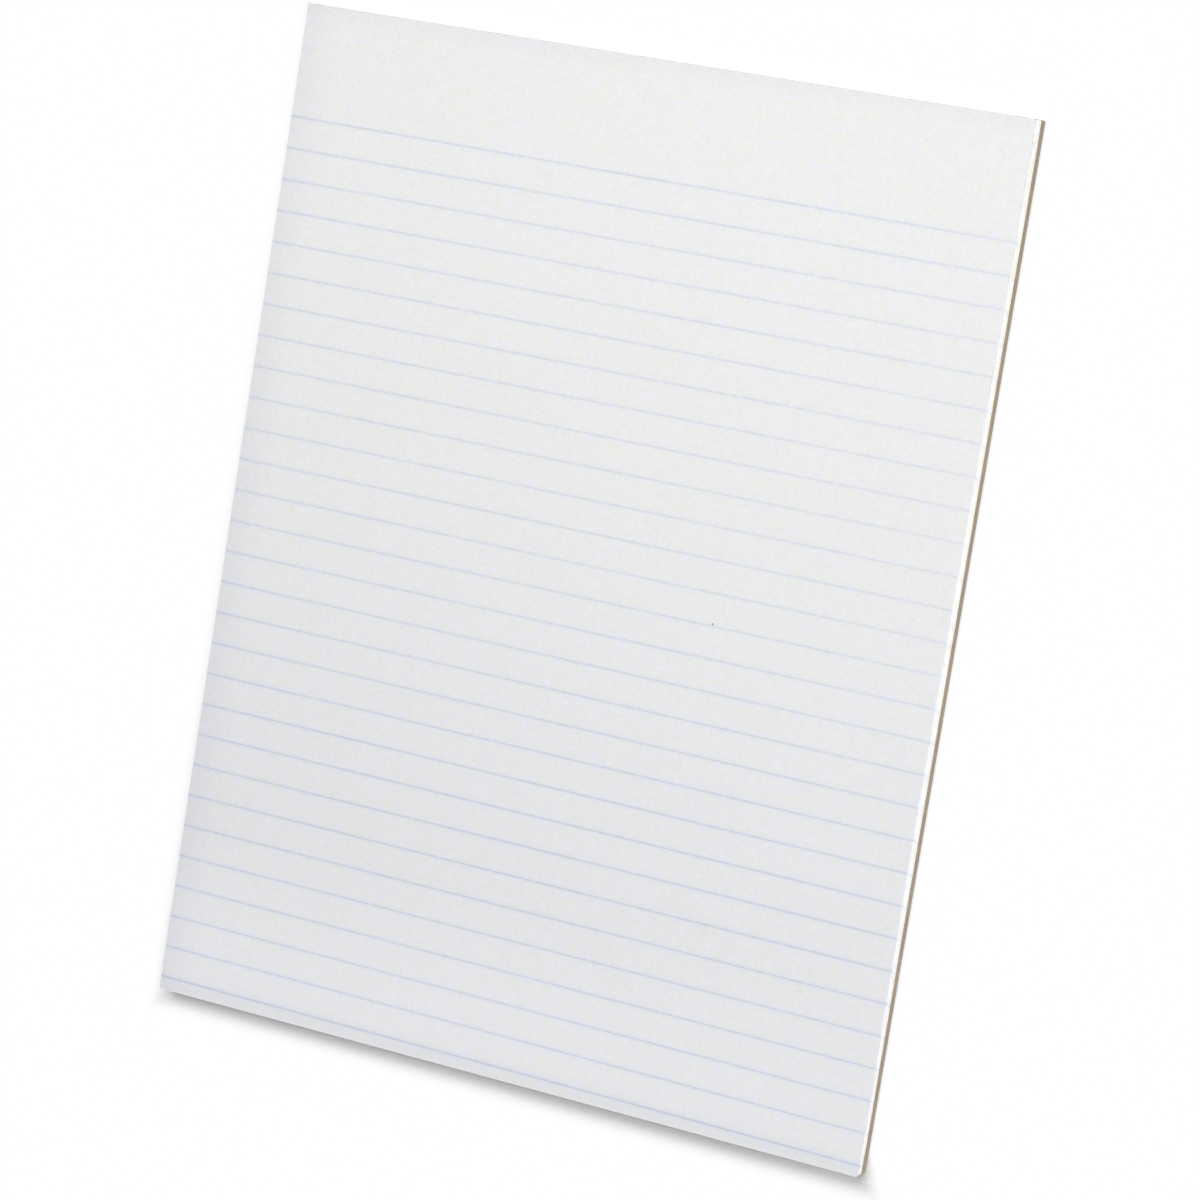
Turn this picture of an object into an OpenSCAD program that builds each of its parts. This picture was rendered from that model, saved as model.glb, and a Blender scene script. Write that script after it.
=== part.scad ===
// Glue-bound writing pad, lying on its backing board with the ruled side up.
// The origin is the middle of the underside and +Y points to the glued head.

/* [Pad] */
// Width of the pad from side to side
pad_w = 215.9; // [120:0.1:300]
// Height of the sheets and the board from foot to head
pad_h = 279.4; // [160:0.1:420]

/* [Sheets] */
// Number of sheets in the block
sheet_count = 50; // [20:1:100]
// Thickness of one sheet
sheet_t = 0.09; // [0.06:0.002:0.12]
// Rounding of the block's four corners
sheet_corner_r = 0.4; // [0.2:0.1:2]
// Depth to which a sheet's edge may lie behind the flush cut
edge_stagger = 0.04; // [0.02:0.01:0.15]

/* [Backing board] */
// Thickness of the chipboard
board_t = 2.7; // [0.5:0.1:4]
// Rounding of the board's four corners
board_corner_r = 0.4; // [0.2:0.1:4]
// Bevel that the knife leaves round the board's underside
board_bevel = 0.2; // [0.05:0.05:0.4]

/* [Padding glue] */
// Thickness of the glue film at its crown
glue_t = 0.15; // [0.1:0.05:1]
// Gap from each end of the film to the rounded corner
glue_end_gap = 0.3; // [0:0.1:5]

/* [Ruling] */
// Distance from the head down to the first line
rule_first = 31.5; // [10:0.1:60]
// Distance from one line to the next
rule_pitch = 8.731; // [5:0.001:15]
// Least distance from the last line to the foot
rule_foot_min = 3; // [1:0.1:20]
// Width of a printed line
rule_w = 0.6; // [0.1:0.05:1]
// Slope of the print against the cut sheet, in degrees
rule_slope = 0.14; // [0:0.02:0.3]
// Thickness of the ink on the top sheet
ink_t = 0.02; // [0.01:0.01:0.1]

/* [Hidden] */
$fn = 96;

sheet_colour = "whitesmoke";
board_colour = "tan";
glue_colour = "ivory";
ink_colour = "lightsteelblue";

block_t = sheet_count * sheet_t;
pad_t = board_t + block_t;
foot_y = -(pad_h + glue_t) / 2;
head_y = foot_y + pad_h;
side_x = pad_w / 2;

glue_low = board_bevel;
glue_span = pad_t - glue_low;
glue_l = pad_w - 2 * (max(sheet_corner_r, board_corner_r) + glue_end_gap);
// Flat strips that make up the film's outer side
glue_facets = 16;
// Bluntness of the film's section: 2 is a round crown and more is flatter
glue_power = 4;

rule_room = pad_h - rule_first - rule_foot_min;
rule_count = floor(rule_room / rule_pitch) + 1;
rule_drop = side_x * tan(rule_slope);

// Angle in the wave that scatters the sheet edges; it never repeats within a block
scatter_step = 137.508;
left_phase = 20;
right_phase = 95;
foot_phase = 210;

// How far one sheet's edge lies behind the cut; the top sheet is flush
function setback(sheet, phase) =
    sheet == sheet_count - 1 ? 0
    : edge_stagger * (1 + sin(sheet * scatter_step + phase)) / 2;

// Stepped edge of the stack as [distance, height] pairs, from the lowest sheet up
function cut_edge(reach, phase) = [
    for (sheet = [0:sheet_count - 1], top = [0, 1])
        [reach - setback(sheet, phase), board_t + (sheet + top) * sheet_t]
];

function mirrored(points) = [
    for (i = [len(points) - 1:-1:0]) [-points[i][0], points[i][1]]
];

// Outline of the pad seen from above, with its corners rounded
module pad_outline(corner_r) {
    flat_w = pad_w - 2 * corner_r;
    flat_h = pad_h - 2 * corner_r;
    translate([-side_x, foot_y + corner_r]) square([pad_w, flat_h]);
    translate([-flat_w / 2, foot_y]) square([flat_w, pad_h]);
    for (x = [-flat_w / 2, flat_w / 2], y = [foot_y + corner_r, head_y - corner_r])
        translate([x, y]) circle(r = corner_r);
}

// Stands a section drawn across the pad along the Y axis, from foot to head
module along_y(from, length) {
    translate([0, from + length, 0]) rotate([90, 0, 0]) linear_extrude(length) children();
}

// Lays a section drawn with its first axis on Y along the X axis, about the middle
module along_x(length) {
    translate([-length / 2, 0, 0]) rotate([90, 0, 90]) linear_extrude(length) children();
}

// All the sheets in one block: flush at the head, cut edges on the other three sides
module page_block() {
    color(sheet_colour) intersection() {
        translate([0, 0, board_t]) linear_extrude(block_t) pad_outline(sheet_corner_r);
        along_y(foot_y, pad_h)
            polygon(concat(cut_edge(side_x, right_phase), mirrored(cut_edge(side_x, left_phase))));
        along_x(pad_w)
            polygon(concat([[head_y, board_t], [head_y, pad_t]], mirrored(cut_edge(-foot_y, foot_phase))));
    }
}

// Chipboard back, flush with the sheets and bevelled round its underside
module backing_board() {
    color(board_colour) intersection() {
        linear_extrude(board_t) pad_outline(board_corner_r);
        along_y(foot_y, pad_h) bevelled_section(-side_x, side_x);
        along_x(pad_w) bevelled_section(foot_y, head_y);
    }
}

module bevelled_section(from, to) {
    polygon([
        [from, board_t], [from, board_bevel], [from + board_bevel, 0],
        [to - board_bevel, 0], [to, board_bevel], [to, board_t]
    ]);
}

// Film of padding glue across the head, full in the middle and thinning at its top and bottom
module padding_glue() {
    color(glue_colour) along_x(glue_l) polygon([
        for (i = [0:glue_facets])
            let (reach = 2 * i / glue_facets - 1)
            [head_y + glue_t * (1 - pow(reach, glue_power)), glue_low + glue_span * (1 + reach) / 2]
    ]);
}

// Printed lines on the top sheet, run off both sides
module ruled_lines() {
    color(ink_colour) translate([0, 0, pad_t]) linear_extrude(ink_t)
        for (line = [0:rule_count - 1]) ruled_line(head_y - rule_first - line * rule_pitch);
}

module ruled_line(y) {
    polygon([
        [-side_x, y + rule_drop - rule_w / 2], [side_x, y - rule_drop - rule_w / 2],
        [side_x, y - rule_drop + rule_w / 2], [-side_x, y + rule_drop + rule_w / 2]
    ]);
}

page_block();
backing_board();
padding_glue();
ruled_lines();
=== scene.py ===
import math

import bpy
from mathutils import Matrix, Vector


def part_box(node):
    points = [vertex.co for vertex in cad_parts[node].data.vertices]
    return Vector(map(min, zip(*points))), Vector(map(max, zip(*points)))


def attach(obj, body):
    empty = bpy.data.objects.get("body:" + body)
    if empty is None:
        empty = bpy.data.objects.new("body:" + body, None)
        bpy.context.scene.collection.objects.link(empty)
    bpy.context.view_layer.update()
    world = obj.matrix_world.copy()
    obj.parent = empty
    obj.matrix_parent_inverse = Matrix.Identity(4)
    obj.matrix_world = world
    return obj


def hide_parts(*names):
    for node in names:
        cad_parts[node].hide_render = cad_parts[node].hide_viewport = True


mm = 0.001
crispAngle = math.radians(30)  # turn between two faces above which their shared edge stays sharp
uprightBelow = 0.5  # upward part of a normal below which a face counts as upright
tiny = 1e-6  # keeps a division from meeting zero

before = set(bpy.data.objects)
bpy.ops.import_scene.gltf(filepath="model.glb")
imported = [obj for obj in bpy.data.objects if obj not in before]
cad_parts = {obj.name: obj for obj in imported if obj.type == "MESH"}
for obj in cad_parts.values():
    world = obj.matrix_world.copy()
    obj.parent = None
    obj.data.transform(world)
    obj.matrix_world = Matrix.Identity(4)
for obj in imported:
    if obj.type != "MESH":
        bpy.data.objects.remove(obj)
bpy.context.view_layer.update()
blockLow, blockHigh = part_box("page_block")
glueLow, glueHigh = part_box("padding_glue")
halfWidth = (blockHigh.x - blockLow.x) / 2
halfHeight = (blockHigh.y - blockLow.y) / 2
middleY = (blockHigh.y + blockLow.y) / 2
blockDepth = blockHigh.z - blockLow.z
print("frame loaded, nodes:", len(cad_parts))


class Wire:
    # One socket of a node, so that sums can be written as Python

    def __init__(self, graph, socket):
        self.graph = graph
        self.socket = socket

    def beside(self, name):
        return Wire(self.graph, self.socket.node.outputs[name])

    def maths(self, operation, *values, clamp=False):
        settings = {"operation": operation, "use_clamp": clamp}
        return self.graph.node("ShaderNodeMath", settings, dict(enumerate(values)))

    def __add__(self, value):
        return self.maths("ADD", self, value)

    def __radd__(self, value):
        return self.maths("ADD", value, self)

    def __sub__(self, value):
        return self.maths("SUBTRACT", self, value)

    def __rsub__(self, value):
        return self.maths("SUBTRACT", value, self)

    def __mul__(self, value):
        return self.maths("MULTIPLY", self, value)

    def __rmul__(self, value):
        return self.maths("MULTIPLY", value, self)

    def __truediv__(self, value):
        return self.maths("DIVIDE", self, value)

    def __rtruediv__(self, value):
        return self.maths("DIVIDE", value, self)

    def __pow__(self, value):
        return self.maths("POWER", self, value)

    def __neg__(self):
        return self.maths("MULTIPLY", self, -1.0)

    def __abs__(self):
        return self.maths("ABSOLUTE", self)

    def __lt__(self, value):
        return self.maths("LESS_THAN", self, value)

    def __gt__(self, value):
        return self.maths("GREATER_THAN", self, value)

    def sine(self):
        return self.maths("SINE", self)

    def rounded(self):
        return self.maths("ROUND", self)

    def sign(self):
        return self.maths("SIGN", self)

    def atLeast(self, value):
        return self.maths("MAXIMUM", self, value)

    def atMost(self, value):
        return self.maths("MINIMUM", self, value)

    def held(self):
        return self.maths("ADD", self, 0.0, clamp=True)


class Graph:
    # A node tree, with the one method that adds a node to it and short names for the nodes used most

    def __init__(self, tree):
        self.tree = tree

    def node(self, kind, settings=None, values=None, output=0):
        made = self.tree.nodes.new(kind)
        for name, value in (settings or {}).items():
            if name == "stops":
                self.setStops(made.color_ramp, value)
            else:
                setattr(made, name, value)
        for key, value in (values or {}).items():
            for part in value if isinstance(value, list) else [value]:
                if isinstance(part, Wire):
                    self.tree.links.new(part.socket, made.inputs[key])
                else:
                    made.inputs[key].default_value = part
        return Wire(self, made.outputs[output]) if len(made.outputs) else None

    def setStops(self, ramp, stops):
        while len(ramp.elements) < len(stops):
            ramp.elements.new(1.0)
        for element, (place, colour) in zip(ramp.elements, stops):
            element.position = place
            element.color = (*colour, 1.0)

    def split(self, vector):
        x = self.node("ShaderNodeSeparateXYZ", None, {0: vector})
        return x, x.beside("Y"), x.beside("Z")

    def join(self, x, y, z):
        return self.node("ShaderNodeCombineXYZ", None, {0: x, 1: y, 2: z})

    def plus(self, first, second):
        return self.node("ShaderNodeVectorMath", {"operation": "ADD"}, {0: first, 1: second})

    def scaled(self, vector, amount):
        return self.node("ShaderNodeVectorMath", {"operation": "SCALE"}, {0: vector, "Scale": amount})

    def noise(self, vector, scale, detail, roughness):
        values = {"Vector": vector, "Scale": scale, "Detail": detail, "Roughness": roughness}
        return self.node("ShaderNodeTexNoise", None, values)

    def streaked(self, vector, scales, detail, roughness):
        # Noise with its own scale along each axis
        vector = self.node("ShaderNodeVectorMath", {"operation": "MULTIPLY"}, {0: vector, 1: scales})
        return self.noise(vector, 1.0, detail, roughness)

    def blend(self, amount, first, second, way="MIX"):
        settings = {"data_type": "RGBA", "blend_type": way}
        return self.node("ShaderNodeMix", settings, {0: amount, 6: first, 7: second}, output=2)

    def ramp(self, amount, ends, first, second):
        stops = [(ends[0], first), (ends[1], second)]
        return self.node("ShaderNodeValToRGB", {"stops": stops}, {0: amount})

    def between(self, value, low, high, fromValue=0.0, toValue=1.0):
        settings = {"interpolation_type": "SMOOTHSTEP"}
        values = {"Value": value, "From Min": low, "From Max": high, "To Min": fromValue, "To Max": toValue}
        return self.node("ShaderNodeMapRange", settings, values)

    def fading(self, value, low, high, most=1.0):
        return self.between(value, low, high, most, 0.0)


def newMaterial(name, paint):
    material = bpy.data.materials.new(name)
    material.use_nodes = True
    material.node_tree.nodes.clear()
    graph = Graph(material.node_tree)
    graph.node("ShaderNodeOutputMaterial", None, {"Surface": paint(graph)})
    return material


def objectPlace(graph):
    return graph.node("ShaderNodeTexCoord", None, None, output="Object")


def upright(graph, place):
    # 1 on a face that stands upright and 0 on one that lies
    return abs(graph.split(place.beside("Normal"))[2]) < uprightBelow


def finished(graph, look, colour, height, roughness=None):
    bump = {"Height": height, "Strength": look["relief"], "Distance": look["reliefDepth"]}
    values = {
        "Base Color": colour,
        "Roughness": look["roughness"] if roughness is None else roughness,
        "Specular IOR Level": look["gloss"],
        "Normal": graph.node("ShaderNodeBump", None, bump),
    }
    return graph.node("ShaderNodeBsdfPrincipled", None, values)


# Paper: white writing stock with a fine tooth. Three numbers in brackets after a pattern's name are the
# scale, detail and roughness of its noise, and a tint is added to the colour where its pattern is strong.
paper = {
    "colour": (0.885, 0.885, 0.885),
    "tooth": (2600.0, 3.0, 0.6),
    "toothContrast": 0.035,
    "cloud": (34.0, 3.0, 0.55),  # soft patches left by the mill
    "cloudContrast": 0.014,
    "mottle": (800.0, 2.0, 0.6),  # finer patches, pale and dark
    "mottleTint": (0.110, 0.110, 0.080),
    "blush": (600.0, 3.0, 0.6),  # patches that lean to lilac or to green
    "blushTint": (0.070, -0.030, 0.300),
    "blushOffset": (0.7, 0.3, 0.5),  # keeps the blush apart from the mottle
    "cockle": (700.0, 2.0, 0.5),
    "toothRelief": 0.6,  # share of the tooth in the relief, the rest is the cockle
    "roughness": 0.86,
    "gloss": 0.25,
    "relief": 0.25,
    "reliefDepth": 0.02 * mm,
}

# Shades by place on the page, each with the reach over which it comes or goes; several are painted light and
# shade
shades = {
    "cool": (-0.008, -0.006, 0.010),  # painted cooler light over the lower half
    "coolLightReach": (90 * mm, 200 * mm),  # from the head
    "pale": (0.039, 0.039, 0.043),  # painted light near the foot
    "footLightReach": (222 * mm, 270 * mm),
    "footLightLean": 0.35,  # share of it that goes from the right side to the left
    "head": (-0.030, -0.029, -0.022),
    "headReach": (0.0, 6 * mm),
    "left": (-0.022, -0.022, -0.006),
    "leftReach": (0.0, 14 * mm),
    # painted shade over the last millimetres before the foot
    "foot": (-0.044, -0.044, -0.040),
    "footShadeReach": (1.5 * mm, 7 * mm),
    "footRim": (0.055, 0.055, 0.050),  # the very rim, which catches the light again
    "footRimReach": (0.1 * mm, 0.55 * mm),
}

# Cut edges of the sheets: their tone against the page, its random losses, and the painted shade that takes it
# down
cutEdge = {
    "tone": 1.09,
    "contrast": 0.30,
    "sheetShare": 0.75,  # part of the contrast that goes from sheet to sheet, the rest lies in bundles
    "sheetPower": 2.0,
    "bundles": ((9.0, 9.0, 1900.0), 2.0, 0.6),  # scale along each axis, then detail and roughness
    "streaks": ((45.0, 45.0, 9000.0), 2.0, 0.6),
    "streaksFrom": 0.35,
    "streakLoss": 0.10,
    "topEdgeShade": 0.14,  # painted shade on the top sheets' edges, where the knife pressed them down
    "topEdgeShadeDepth": (0.0, 1.6 * mm),
    "headEdgeShade": 0.06,  # more painted shade on the right side near the head
    "headReach": (75 * mm, 110 * mm),
    "headDepth": (0.0, 2.6 * mm),
    "footEdgeShade": 0.10,  # and near the foot
    "footShadeReach": (228 * mm, 262 * mm),
    "footDepth": (1.4 * mm, 3.2 * mm),
    "dust": (0.930, 0.850, 0.690, 1.0),  # a warmer tint over the lowest sheets, next to the board
    "lowSheetReach": 1.65 * mm,
}

# Specks in the stock: place from the middle of the page, radius and darkness
specks = {
    "places": [
        (42.06 * mm, -4.85 * mm, 0.26 * mm, 0.85),
        (80.58 * mm, -11.47 * mm, 0.17 * mm, 0.20),
        (85.49 * mm, -13.51 * mm, 0.16 * mm, 0.16),
        (-76.95 * mm, -16.70 * mm, 0.15 * mm, 0.10),
    ],
    "colour": (0.17, 0.19, 0.15, 1.0),
    "rim": (0.6, 1.35),  # shares of the radius between which a speck fades
    "wobble": (5000.0, 1.0, 0.5),
    "wobbleLeast": 0.7,
    "wobbleSpread": 0.6,
}


def pageTone(graph, place):
    # Tone of a lying page and the tooth of its surface, shared by the bare paper and the inked strips
    tooth = graph.noise(place, *paper["tooth"])
    cloud = graph.noise(place, *paper["cloud"])
    return 1 + (tooth - 0.5) * paper["toothContrast"] + (cloud - 0.5) * paper["cloudContrast"], tooth


def tinted(graph, place, tone):
    # The stock's white at a given tone, with its fine mottle and its shades by place on the page, some of
    # them painted light and shade
    x, y = graph.split(place)[:2]
    fromHead = blockHigh.y - y
    fromLeft = x - blockLow.x
    fromFoot = y - blockLow.y
    elsewhere = graph.plus(place, paper["blushOffset"])
    lean = 1 - x / halfWidth * shades["footLightLean"]
    changes = [
        (paper["mottleTint"], graph.noise(place, *paper["mottle"]) - 0.5),
        (paper["blushTint"], graph.noise(elsewhere, *paper["blush"]) - 0.5),
        # painted cooler light over the lower half of the page
        (shades["cool"], graph.between(fromHead, *shades["coolLightReach"])),
        # painted light near the foot, less of it on the right
        (shades["pale"], graph.between(fromHead, *shades["footLightReach"]) * lean),
        (shades["head"], graph.fading(fromHead, *shades["headReach"])),
        (shades["left"], graph.fading(fromLeft, *shades["leftReach"])),
        # painted shade before the foot, and a painted highlight on its very rim
        (shades["foot"], graph.fading(fromFoot, *shades["footShadeReach"])),
        (shades["footRim"], graph.fading(fromFoot, *shades["footRimReach"])),
    ]
    white = paper["colour"]
    for change, amount in changes:
        white = graph.plus(white, graph.scaled(change, amount))
    return graph.scaled(white, tone)


def cutTone(graph, place):
    # Tone of the sheets' edges: it goes from sheet to sheet, with painted shade on the top sheets and, on the
    # right side, near the head and the foot
    x, y, z = graph.split(place)
    depth = blockHigh.z - z
    fromHead = blockHigh.y - y
    sheet = graph.node("ShaderNodeAttribute", {"attribute_name": "sheet"}, None, output="Fac")
    oneSheet = graph.node("ShaderNodeTexWhiteNoise", {"noise_dimensions": "1D"}, {"W": sheet})
    bundles = graph.streaked(place, *cutEdge["bundles"])
    streaks = graph.streaked(place, *cutEdge["streaks"])
    share = cutEdge["sheetShare"]
    layered = oneSheet ** cutEdge["sheetPower"] * share + bundles * (1 - share)
    tone = cutEdge["tone"] - layered * cutEdge["contrast"]
    tone = tone - (streaks - cutEdge["streaksFrom"]).atLeast(0.0) * cutEdge["streakLoss"]
    # painted shade on the top sheets' edges
    tone = tone - graph.fading(depth, *cutEdge["topEdgeShadeDepth"], cutEdge["topEdgeShade"])
    # painted shade on the right side near the head and the foot
    nearHead = graph.fading(fromHead, *cutEdge["headReach"], cutEdge["headEdgeShade"])
    nearHead = nearHead * graph.fading(depth, *cutEdge["headDepth"])
    nearFoot = graph.between(fromHead, *cutEdge["footShadeReach"], 0.0, cutEdge["footEdgeShade"])
    nearFoot = nearFoot * graph.fading(depth, *cutEdge["footDepth"])
    return tone - (nearHead + nearFoot) * (x > 0)


def specked(graph, place, colour, share):
    x, y = graph.split(place)[:2]
    wobble = graph.noise(place, *specks["wobble"]) * specks["wobbleSpread"] + specks["wobbleLeast"]
    start, end = specks["rim"]
    for speckX, speckY, radius, darkness in specks["places"]:
        reach = ((x - speckX) ** 2.0 + (y - middleY - speckY) ** 2.0) ** 0.5
        spot = graph.fading(reach / wobble, radius * start, radius * end, darkness)
        colour = graph.blend(spot * share, colour, specks["colour"])
    return colour


def paintPaper(graph):
    place = objectPlace(graph)
    z = graph.split(place)[2]
    edge = upright(graph, place)
    face, tooth = pageTone(graph, place)
    colour = tinted(graph, place, edge * cutTone(graph, place) + (1 - edge) * face)

    shift = graph.between(blockHigh.z - z, *ink["strayDepth"], 0.0, ink["stray"])
    printed = graph.plus(place, graph.join(0.0, shift, 0.0))
    colour = inked(graph, printed, colour, 1 - edge * (1 - ink["onCutEdge"]))

    # a warmer tint over the lowest sheets' edges, next to the board
    nearBoard = graph.fading(z, blockLow.z, blockLow.z + cutEdge["lowSheetReach"]) * edge
    colour = graph.blend(nearBoard, colour, cutEdge["dust"], "MULTIPLY")
    colour = specked(graph, place, colour, 1 - edge)

    share = paper["toothRelief"]
    height = tooth * share + graph.noise(place, *paper["cockle"]) * (1 - share)
    return finished(graph, paper, colour, height)


# Ruling: strips of ink that follow the top page and run off both sides
ruling = {
    "first": 31.5 * mm,
    "pitch": 8.731 * mm,
    "width": 0.60 * mm,
    "depth": 0.02 * mm,
    "slope": math.tan(math.radians(0.14)),  # drop of a line for its run to the right
    "crowding": 2.2,
    "pointsAcross": 61,
    "pointsOver": 3,
}
footRoom = 3.0 * mm  # least distance from the last line to the foot
lineCount = math.floor((2 * halfHeight - ruling["first"] - footRoom) / ruling["pitch"]) + 1

# Ink: a pale blue ruling that prints heavier towards the foot and bleeds a little into the paper beside it.
# Every sheet is ruled to its rims, so faint marks of the lines run down the cut edges.
ink = {
    "film": (0.600, 0.690, 0.760, 1.0),  # what a full film of ink lets through
    "halo": (0.930, 0.952, 1.060, 1.0),  # and the thin bleed round it
    "filmReach": (0.10 * mm, 0.45 * mm),  # from a line's middle, where the film starts and ends fading
    "haloReach": (0.30 * mm, 1.60 * mm),
    "nearHead": 0.325,
    "nearFoot": 0.475,
    "footLines": (12.0, 21.0),  # lines, counted from the head, over which the print grows full
    "firstGain": 0.050,
    "firstLines": (0.0, 3.0),
    "lateLoss": 0.035,
    "lateLines": (22.0, 25.0),
    "lastGain": 0.090,  # on the last line
    "leftGain": 0.045,  # at the left end of a line near the head
    "speckle": (420.0, 3.0, 0.65),
    "speckleContrast": 0.46,
    "drift": (45.0, 2.0, 0.5),
    "driftContrast": 0.276,
    "onCutEdge": 0.48,  # share of the print seen on the sheets' edges
    "stray": 0.85 * mm,  # how much nearer the foot the lower sheets were ruled
    "strayDepth": (0.4 * mm, 3.0 * mm),  # below the top sheet, where that starts and where it is full
    "roughness": 0.80,
    "gloss": 0.25,
    "relief": 0.25,
    "reliefDepth": 0.02 * mm,
}


def nearestLine(x, y):
    # Number of the ruled line nearest to a place, and how far off it is
    down = blockHigh.y - ruling["first"] - y - x * ruling["slope"]
    line = (down / ruling["pitch"]).rounded().atLeast(0.0).atMost(lineCount - 1.0)
    return line, abs(down - line * ruling["pitch"])


def inked(graph, place, colour, share=1.0):
    x, y = graph.split(place)[:2]
    line, reach = nearestLine(x, y)
    foot = graph.between(line, *ink["footLines"])
    strength = ink["nearHead"] + foot * (ink["nearFoot"] - ink["nearHead"])
    strength = strength + graph.fading(line, *ink["firstLines"], ink["firstGain"])
    strength = strength - graph.between(line, *ink["lateLines"], 0.0, ink["lateLoss"])
    strength = strength + (line > lineCount - 1.5) * ink["lastGain"]
    strength = strength - x / halfWidth * (1 - foot) * ink["leftGain"]
    strength = strength + (graph.noise(place, *ink["speckle"]) - 0.5) * ink["speckleContrast"]
    strength = strength + (graph.noise(place, *ink["drift"]) - 0.5) * ink["driftContrast"]
    strength = strength * share
    filmed = strength * graph.fading(reach, *ink["filmReach"])
    bled = strength * graph.fading(reach, *ink["haloReach"])
    colour = graph.blend(filmed.held(), colour, ink["film"], "MULTIPLY")
    return graph.blend(bled.held(), colour, ink["halo"], "MULTIPLY")


def paintInk(graph):
    place = objectPlace(graph)
    tone, tooth = pageTone(graph, place)
    return finished(graph, ink, inked(graph, place, tinted(graph, place, tone)), tooth)


# Chipboard: grey-brown pulp with pale and dark fibres, pressed in layers
chipboard = {
    "light": (0.335, 0.280, 0.212),
    "dark": (0.205, 0.166, 0.122),
    "toneEnds": (0.28, 0.72),
    "pulp": (260.0, 5.0, 0.65),
    "patches": (38.0, 2.0, 0.5),
    "layers": ((55.0, 55.0, 2600.0), 3.0, 0.6),
    "pulpOnFace": 0.65,  # the rest is patches
    "pulpOnEdge": 0.3,  # the rest is layers
    "fibre": (0.475, 0.427, 0.347, 1.0),
    "fibresAlong": ((420.0, 1900.0, 1900.0), 2.0, 0.6),
    "fibresAcross": ((1900.0, 420.0, 1900.0), 2.0, 0.6),
    "fibreRange": (0.62, 0.72),
    "fibreShow": 0.55,
    "fleck": (0.130, 0.104, 0.080, 1.0),
    "grit": (1300.0, 2.0, 0.7),
    "gritRange": (0.64, 0.72),
    "gritShow": 0.6,
    "pulpRelief": 0.5,
    "fibreRelief": 0.25,
    "gritRelief": 0.25,
    "roughness": 0.9,
    "gloss": 0.2,
    "relief": 0.5,
    "reliefDepth": 0.06 * mm,
}


def paintChipboard(graph):
    place = objectPlace(graph)
    edge = upright(graph, place)
    pulp = graph.noise(place, *chipboard["pulp"])
    patches = graph.noise(place, *chipboard["patches"])
    layers = graph.streaked(place, *chipboard["layers"])
    onFace = pulp * chipboard["pulpOnFace"] + patches * (1 - chipboard["pulpOnFace"])
    onEdge = pulp * chipboard["pulpOnEdge"] + layers * (1 - chipboard["pulpOnEdge"])
    mixed = edge * onEdge + (1 - edge) * onFace
    colour = graph.ramp(mixed, chipboard["toneEnds"], chipboard["dark"], chipboard["light"])

    along = graph.streaked(place, *chipboard["fibresAlong"])
    across = graph.streaked(place, *chipboard["fibresAcross"])
    pale = graph.between(along.atLeast(across), *chipboard["fibreRange"], 0.0, chipboard["fibreShow"])
    colour = graph.blend(pale, colour, chipboard["fibre"])
    grit = graph.noise(place, *chipboard["grit"])
    gritty = graph.between(grit, *chipboard["gritRange"], 0.0, chipboard["gritShow"])
    colour = graph.blend(gritty, colour, chipboard["fleck"])

    height = pulp * chipboard["pulpRelief"] + along * chipboard["fibreRelief"]
    height = height + grit * chipboard["gritRelief"]
    return finished(graph, chipboard, colour, height)


# Padding glue: a brushed film that dried white and slightly shiny
gluePaint = {
    "thick": (0.870, 0.870, 0.855),
    "thin": (0.745, 0.735, 0.700),
    "toneEnds": (0.30, 0.62),
    "brush": ((60.0, 800.0, 1500.0), 3.0, 0.6),
    "cloud": (180.0, 2.0, 0.5),
    "brushShare": 0.55,  # the rest is cloud
    "roughness": 0.32,  # where the cloud is thin
    "roughnessSpread": 0.22,
    "gloss": 0.5,
    "relief": 0.6,
    "reliefDepth": 0.08 * mm,
}


def paintGlue(graph):
    place = objectPlace(graph)
    brushed = graph.streaked(place, *gluePaint["brush"])
    cloudy = graph.noise(place, *gluePaint["cloud"])
    mixed = brushed * gluePaint["brushShare"] + cloudy * (1 - gluePaint["brushShare"])
    colour = graph.ramp(mixed, gluePaint["toneEnds"], gluePaint["thin"], gluePaint["thick"])
    roughness = gluePaint["roughness"] + cloudy * gluePaint["roughnessSpread"]
    return finished(graph, gluePaint, colour, brushed, roughness)


paperMaterial = newMaterial("writingPaper", paintPaper)
inkMaterial = newMaterial("rulingInk", paintInk)
boardMaterial = newMaterial("chipboard", paintChipboard)
glueMaterial = newMaterial("paddingGlue", paintGlue)
print("materials painted")


def growPiece(name, build, sizes, material):
    # Builds a Geometry Nodes tree with the sizes as its inputs, and keeps what it makes as a plain mesh
    tree = bpy.data.node_groups.new(name + "Tree", "GeometryNodeTree")
    tree.interface.new_socket("Mesh", in_out="OUTPUT", socket_type="NodeSocketGeometry")
    sockets = {}
    for label, value in sizes.items():
        kind = "NodeSocketInt" if isinstance(value, int) else "NodeSocketFloat"
        sockets[label] = tree.interface.new_socket(label, in_out="INPUT", socket_type=kind)
    graph = Graph(tree)
    given = graph.node("NodeGroupInput")
    mesh = build(graph, given.beside)
    mesh = graph.node("GeometryNodeRealizeInstances", None, {0: mesh})
    mesh = graph.node("GeometryNodeSetMaterial", None, {"Geometry": mesh, "Material": material})
    graph.node("NodeGroupOutput", None, {0: mesh})

    piece = bpy.data.objects.new(name, bpy.data.meshes.new(name))
    bpy.context.scene.collection.objects.link(piece)
    modifier = piece.modifiers.new("grow", "NODES")
    modifier.node_group = tree
    for label, value in sizes.items():
        modifier[sockets[label].identifier] = value
    bpy.context.view_layer.update()
    grown = piece.evaluated_get(bpy.context.evaluated_depsgraph_get())
    plain = bpy.data.meshes.new_from_object(grown)
    piece.modifiers.remove(modifier)
    piece.data = plain
    plain.name = name
    print(name, "has", len(plain.polygons), "faces")
    return piece


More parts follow.
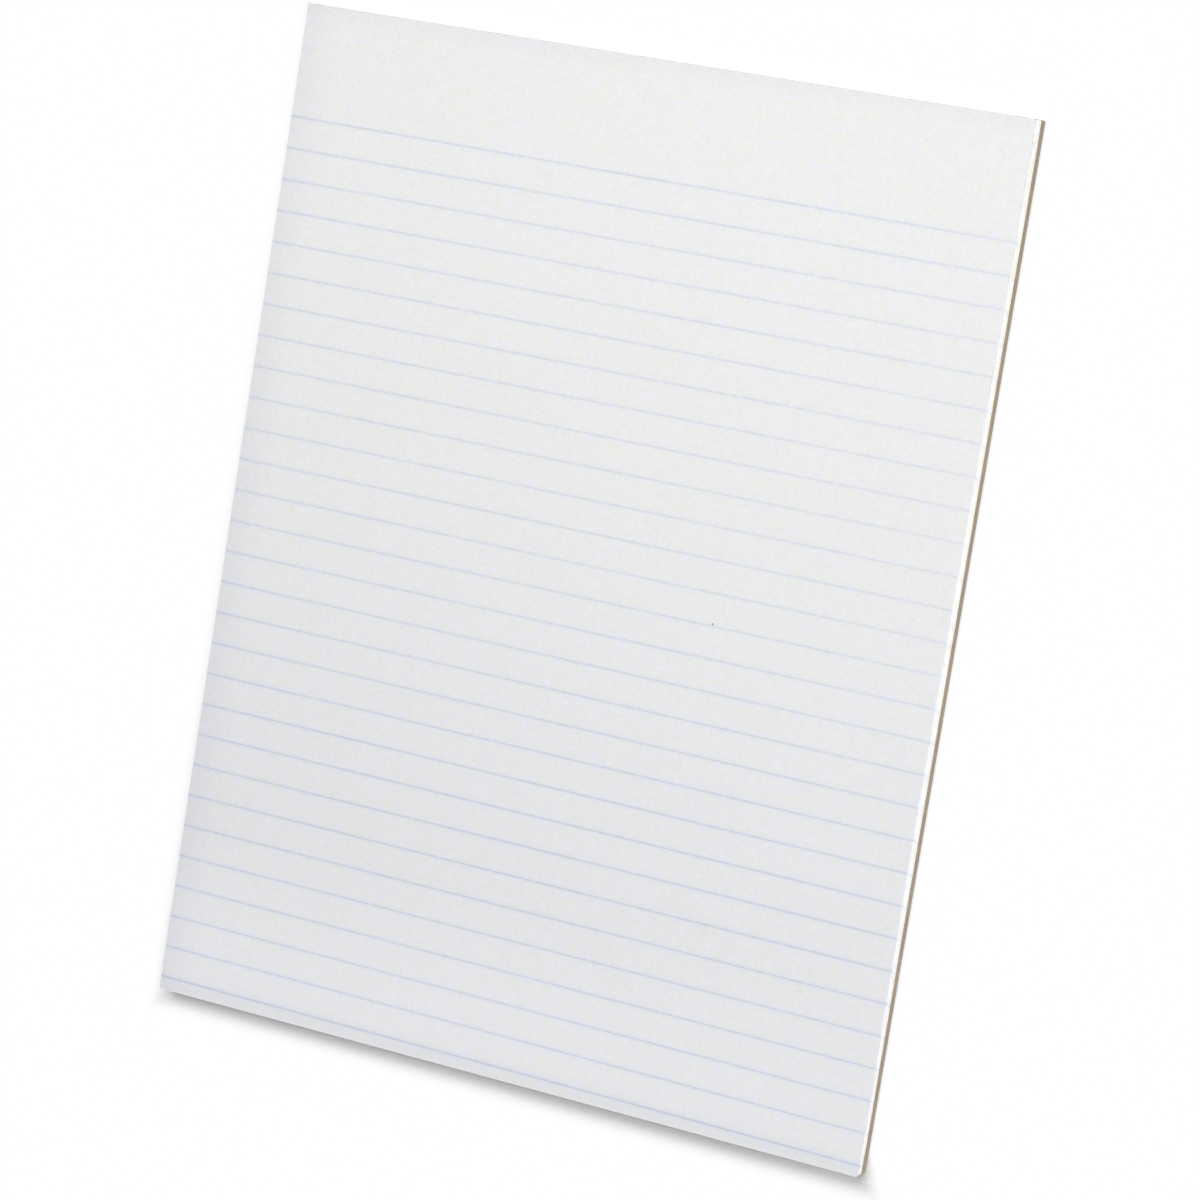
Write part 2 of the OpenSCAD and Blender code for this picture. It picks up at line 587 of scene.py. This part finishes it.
# How the page lies: its sides roll down where the knife pressed them, the right one least near its ends.
# Towards the foot the knife drew the right cut aslant, so the upper sheets reach out over the lower ones.
page = {
    "rightDrop": 0.012 * mm,
    "rightReach": 0.8 * mm,
    "rollAtHead": 0.3,  # share of the right side's roll left at the head
    "rollAtFoot": 0.5,
    "rollFromFoot": 40 * mm,  # from the foot, where that share is back to the whole
    "leftDrop": 0.30 * mm,
    "leftReach": 9.0 * mm,
    "wave": 0.05 * mm,
    "waveScale": 9.0,
    "overcut": 0.50 * mm,
    "overcutFrom": 198 * mm,  # from the head
    "overcutFull": 268 * mm,
}


def graded(value, power):
    # Draws rows of points closer together towards both ends
    return value.sign() * (1 - (1 - abs(value)) ** power)


def pageDrop(graph, given, x, y):
    fromRight = ((halfWidth - x) / given("rightReach")).held()
    fromLeft = ((x + halfWidth) / given("leftReach")).held()
    fromFoot = y - blockLow.y
    headShare = graph.between(y, middleY, blockHigh.y, 1.0, given("rollAtHead"))
    footShare = graph.between(fromFoot, 0.0, given("rollFromFoot"), given("rollAtFoot"), 1.0)
    right = (1 - fromRight) ** 2.0 * given("rightDrop") * headShare * footShare
    left = (1 - fromLeft) ** 2.0 * given("leftDrop")
    swell = graph.noise(graph.join(x, y, 0.0), given("waveScale"), 1.0, 0.5) * given("wave")
    return right + left + swell


def overcut(graph, given, across, y, level):
    # How far the right cut reaches out, for a point that lies a share of the way across the page
    nearFoot = graph.between(blockHigh.y - y, given("overcutFrom"), given("overcutFull"))
    return across.atLeast(0.0) * nearFoot * given("overcut") * level ** 2.0


def numbered(graph, shape, count, name):
    # Copies a shape and gives each copy its number
    points = graph.node("GeometryNodeMeshLine", None, {"Count": count, "Offset": (0.0, 0.0, 0.0)})
    copies = graph.node("GeometryNodeInstanceOnPoints", None, {"Points": points, "Instance": shape})
    number = graph.node("GeometryNodeInputIndex")
    copies = withNumber(graph, copies, "INSTANCE", name, number)
    return graph.node("GeometryNodeRealizeInstances", None, {0: copies})


def withNumber(graph, mesh, domain, name, number):
    settings = {"data_type": "FLOAT", "domain": domain}
    values = {"Geometry": mesh, "Name": name, "Value": number}
    return graph.node("GeometryNodeStoreNamedAttribute", settings, values)


def readNumber(graph, name):
    return graph.node("GeometryNodeInputNamedAttribute", {"data_type": "FLOAT"}, {"Name": name})


def unitBlock(graph, x, y, z):
    # A block from -1 to 1 across, -1 to 1 along and -0.5 to 0.5 up, with so many points each way
    values = {"Size": (2.0, 2.0, 1.0), "Vertices X": x, "Vertices Y": y, "Vertices Z": z}
    return graph.node("GeometryNodeMeshCube", None, values)


def placed(graph, mesh, x, y, z):
    return graph.node("GeometryNodeSetPosition", None, {"Geometry": mesh, "Position": graph.join(x, y, z)})


def softened(graph, mesh):
    # Smooth all over, with the edges that turn sharply kept crisp
    mesh = graph.node("GeometryNodeSetShadeSmooth", {"domain": "FACE"}, {0: mesh, "Shade Smooth": True})
    turn = graph.node("GeometryNodeInputMeshEdgeAngle")
    values = {0: mesh, "Selection": turn > crispAngle, "Shade Smooth": False}
    return graph.node("GeometryNodeSetShadeSmooth", {"domain": "EDGE"}, values)


# Sheets: one slab each, with its own setback behind the knife's cut
stack = {
    "sheets": 50,
    "cornerRound": 0.4 * mm,
    "airGap": 0.08,  # part of a sheet's thickness
    "setback": 0.04 * mm,
    "scatterStep": math.radians(137.508),  # turn of the wave that scatters the edges from sheet to sheet
    "handling": 0.02 * mm,  # slow drift of the edges down the stack
    "driftStep": 0.31,
    "rightPhase": math.radians(95),
    "leftPhase": math.radians(20),
    "footPhase": math.radians(210),
    "settle": 1.5,  # power by which the page's roll fades down through the stack
    "crowding": 2.2,
    "topPoints": 61,
    "lowerPoints": 9,
}


def buildSheets(graph, given):
    lower = unitBlock(graph, given("lowerPoints"), given("lowerPoints"), 2)
    lower = numbered(graph, lower, given("sheets") - 1, "sheet")
    top = unitBlock(graph, given("topPoints"), given("topPoints"), 2)
    top = withNumber(graph, top, "POINT", "sheet", given("sheets") - 1)
    mesh = graph.node("GeometryNodeJoinGeometry", None, {0: [lower, top]})

    u, v, w = graph.split(graph.node("GeometryNodeInputPosition"))
    sheet = readNumber(graph, "sheet")
    below = sheet < given("sheets") - 1.5

    def setback(phase):
        scatter = (sheet * given("scatterStep") + given(phase)).sine() * 0.5 + 0.5
        drift = (sheet * given("driftStep") + given(phase)).sine() * 0.5 + 0.5
        return (scatter * given("setback") + drift * given("handling")) * below

    gradedU = graded(u, given("crowding"))
    gradedV = graded(v, given("crowding"))
    right = gradedU.atLeast(0.0)
    left = (-gradedU).atLeast(0.0)
    foot = (-gradedV).atLeast(0.0)
    x = gradedU * halfWidth - right * setback("rightPhase") + left * setback("leftPhase")
    y = gradedV * halfHeight + foot * setback("footPhase")

    pastX = (abs(x) - halfWidth + given("cornerRound")).atLeast(0.0)
    pastY = (abs(y) - halfHeight + given("cornerRound")).atLeast(0.0)
    reach = (pastX * pastX + pastY * pastY) ** 0.5
    pull = (given("cornerRound") / reach.atLeast(tiny)).atMost(1.0)
    x = x - x.sign() * pastX * (1 - pull)
    y = y - y.sign() * pastY * (1 - pull) + middleY

    level = (sheet + 1 - (0.5 - w) * (1 - given("airGap"))) / given("sheets")
    z = blockLow.z + level * blockDepth - pageDrop(graph, given, x, y) * level ** given("settle")
    x = x + overcut(graph, given, gradedU, y, level)
    return softened(graph, placed(graph, mesh, x, y, z))


sheets = growPiece("sheets", buildSheets, {**stack, **page}, paperMaterial)


def buildRuling(graph, given):
    strip = unitBlock(graph, given("pointsAcross"), given("pointsOver"), 2)
    mesh = numbered(graph, strip, given("lines"), "line")
    u, v, w = graph.split(graph.node("GeometryNodeInputPosition"))
    line = readNumber(graph, "line")
    gradedU = graded(u, given("crowding"))
    x = gradedU * halfWidth
    y = blockHigh.y - given("first") - line * given("pitch")
    y = y - x * given("slope") + v * given("width") * 0.5
    z = blockHigh.z - pageDrop(graph, given, x, y) + (w + 0.5) * given("depth")
    x = x + overcut(graph, given, gradedU, y, 1.0)
    return softened(graph, placed(graph, mesh, x, y, z))


ruledLines = growPiece("ruling", buildRuling, {"lines": lineCount, **ruling, **page}, inkMaterial)

# Glue: full in the middle of the spine, thin at its rims, uneven where the brush went
film = {
    "rim": 0.02 * mm,
    "fullness": 4.0,
    "endTaper": 1.2 * mm,
    "brushwork": 0.30,
    "brushAlong": 90.0,
    "brushUp": 700.0,
    "crowding": 1.5,
    "pointsAlong": 241,
    "pointsUp": 15,
}


def buildGlue(graph, given):
    mesh = unitBlock(graph, given("pointsAlong"), 2, given("pointsUp"))
    u, v, w = graph.split(graph.node("GeometryNodeInputPosition"))
    halfLength = (glueHigh.x - glueLow.x) / 2
    x = u * halfLength
    across = graded(w * 2, given("crowding"))
    z = (glueHigh.z + glueLow.z) / 2 + across * (glueHigh.z - glueLow.z) / 2
    crown = 1 - abs(across) ** given("fullness")
    ends = ((halfLength - abs(x)) / given("endTaper")).held() ** 0.5
    brushed = graph.join(x * given("brushAlong"), 0.0, z * given("brushUp"))
    streaks = graph.noise(brushed, 1.0, 2.0, 0.5)
    thickness = crown * ends * (1 - streaks * given("brushwork"))
    room = glueHigh.y - glueLow.y - given("rim")
    y = glueLow.y + (v > 0) * (given("rim") + thickness * room)
    return softened(graph, placed(graph, mesh, x, y, z))


glueFilm = growPiece("paddingGlue", buildGlue, film, glueMaterial)

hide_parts("page_block")
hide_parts("ruled_lines")
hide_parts("padding_glue")
for piece, slot in ((sheets, "sheets"), (ruledLines, "ink"), (glueFilm, "glue")):
    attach(piece, "root")

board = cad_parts["backing_board"]
for boardSlot in board.material_slots:
    boardSlot.material = boardMaterial
print("pieces placed")

# Studio: what the camera sees of the floor is white, and it keeps the pad's shadow
studio = {
    "floorSize": 6.0,
    "floorInset": 1 * mm,
    "floorColour": (0.80, 0.80, 0.80, 1.0),
    "seenColour": (1.08, 1.08, 1.08),
    "footShadow": (3.5 * mm, 8.5 * mm),  # how far past the foot the floor starts and ends turning plain white
    "midShade": 0.092,  # how much darker the middle of the foot's shadow is than its start
    "midLean": 0.045,  # how much that grows towards the right corner
    "midReach": (2.3 * mm, 3.1 * mm),
    "rightShadow": (-0.5 * mm, 0.7 * mm),  # and past the right side, which the photo shows without a shadow
    "rightFlare": 6 * mm,  # how much further the foot's shadow spreads past the right corner
    "flareReach": (-6.0 * mm, 3.0 * mm),  # past the foot
    "otherShadow": (2 * mm, 7 * mm),
    "ambient": 0.24,
    "ambientColour": (0.97, 0.985, 1.02, 1.0),
}


def whatShows(graph):
    ray = graph.node("ShaderNodeLightPath", None, None, output="Is Camera Ray")
    return ray, ray.beside("Is Glossy Ray").atLeast(ray.beside("Is Transmission Ray"))


def paintFloor(graph):
    camera, mirrored = whatShows(graph)
    x, y = graph.split(objectPlace(graph))[:2]
    pastFoot = blockLow.y - y
    pastOthers = (-x - halfWidth).atLeast(y - blockHigh.y)
    flare = graph.between(pastFoot, *studio["flareReach"], 0.0, studio["rightFlare"])
    nearSide, farSide = studio["rightShadow"]
    away = graph.between(pastFoot, *studio["footShadow"])
    away = away.atLeast(graph.between(x - halfWidth, nearSide, flare + farSide))
    away = away.atLeast(graph.between(pastOthers, *studio["otherShadow"]))
    away = away.atLeast(graph.node("ShaderNodeNewGeometry", None, None, output="Backfacing"))

    lean = studio["midShade"] + x / halfWidth * studio["midLean"]
    shade = graph.between(pastFoot, *studio["midReach"]) * lean
    seen = graph.scaled(studio["seenColour"], 1 - shade)
    seen = graph.node("ShaderNodeBsdfDiffuse", None, {"Color": seen})
    plain = graph.node("ShaderNodeBsdfDiffuse", None, {"Color": studio["floorColour"]})
    white = graph.node("ShaderNodeEmission", None, {"Strength": 1.0})
    seen = graph.node("ShaderNodeMixShader", None, {0: away, 1: seen, 2: white})
    plain = graph.node("ShaderNodeMixShader", None, {0: mirrored, 1: plain, 2: white})
    return graph.node("ShaderNodeMixShader", None, {0: camera, 1: plain, 2: seen})


def floorRing(low, high):
    return [(low.x, low.y, 0), (high.x, low.y, 0), (high.x, high.y, 0), (low.x, high.y, 0)]


# The floor is open under the pad, just inside its outline, so that the underside can be looked at too
half = Vector((studio["floorSize"] / 2, studio["floorSize"] / 2, 0))
inset = Vector((studio["floorInset"], studio["floorInset"], 0))
corners = floorRing(-half, half) + floorRing(blockLow + inset, blockHigh - inset)
floorMesh = bpy.data.meshes.new("floor")
floorMesh.from_pydata(corners, [], [(0, 1, 5, 4), (1, 2, 6, 5), (2, 3, 7, 6), (3, 0, 4, 7)])
floorMesh.materials.append(newMaterial("floorWhite", paintFloor))
floor = bpy.data.objects.new("floor", floorMesh)
bpy.context.scene.collection.objects.link(floor)

world = bpy.data.worlds.new("studio")
world.use_nodes = True
world.node_tree.nodes.clear()
graph = Graph(world.node_tree)
camera, mirrored = whatShows(graph)
white = graph.node("ShaderNodeBackground", None, {"Color": (1.0, 1.0, 1.0, 1.0), "Strength": 1.0})
ambient = {"Color": studio["ambientColour"], "Strength": studio["ambient"]}
ambient = graph.node("ShaderNodeBackground", None, ambient)
sky = graph.node("ShaderNodeMixShader", None, {0: camera.atLeast(mirrored), 1: ambient, 2: white})
graph.node("ShaderNodeOutputWorld", None, {"Surface": sky})
bpy.context.scene.world = world

lamps = [
    {"name": "overhead", "place": (0.02, 0.34, 0.87), "size": (0.80, 0.50), "power": 6.20,
     "colour": (1.02, 1.017, 1.004)},
    {"name": "lowSide", "place": (1.00, -0.10, 0.12), "size": (0.70, 0.10), "power": 7.2,
     "colour": (1.00, 1.00, 0.99)},
    {"name": "lowFoot", "place": (0.00, -0.45, 0.12), "size": (0.40, 0.08), "power": 0.16,
     "colour": (1.00, 1.00, 1.00)},
    {"name": "underneath", "place": (0.00, 0.00, -0.60), "size": (0.60, 0.60), "power": 2.2,
     "colour": (1.00, 1.00, 1.00)},
]
for lamp in lamps:
    light = bpy.data.lights.new(lamp["name"], "AREA")
    light.shape = "RECTANGLE"
    light.size, light.size_y = lamp["size"]
    light.energy = lamp["power"]
    light.color = lamp["colour"]
    holder = bpy.data.objects.new(lamp["name"], light)
    holder.location = lamp["place"]
    holder.rotation_euler = (-Vector(lamp["place"])).to_track_quat("-Z", "Y").to_euler()
    bpy.context.scene.collection.objects.link(holder)
print("studio lit")

# Camera: the photo's angle on the pad, as a place on a sphere about a point near the page's middle
shot = {
    "across": 8.461 * mm,
    "along": -4.937 * mm,
    "azimuth": 105.613,
    "elevation": 64.278,
    "roll": -94.949,
    "distance": 1196.77 * mm,
    "lens": 133.896,
    "sensor": 36.0,
    "clipStart": 0.01,
}
azimuth = math.radians(shot["azimuth"])
elevation = math.radians(shot["elevation"])
away = Vector((
    math.sin(azimuth) * math.cos(elevation),
    -math.cos(azimuth) * math.cos(elevation),
    math.sin(elevation),
))
level = Vector((-away.y, away.x, 0.0)).normalized()
right = Matrix.Rotation(math.radians(shot["roll"]), 3, away) @ level
up = away.cross(right)
cameraData = bpy.data.cameras.new("camera")
cameraData.sensor_width = shot["sensor"]
cameraData.lens = shot["lens"]
cameraData.clip_start = shot["clipStart"]
cameraObject = bpy.data.objects.new("camera", cameraData)
turn = Matrix((right, up, away)).transposed().to_4x4()
target = Vector((shot["across"], middleY + shot["along"], blockHigh.z))
cameraObject.matrix_world = Matrix.Translation(target + away * shot["distance"]) @ turn
bpy.context.scene.collection.objects.link(cameraObject)
bpy.context.scene.camera = cameraObject
bpy.context.scene.view_settings.view_transform = "Standard"
print("camera set")

bpy.context.view_layer.update()
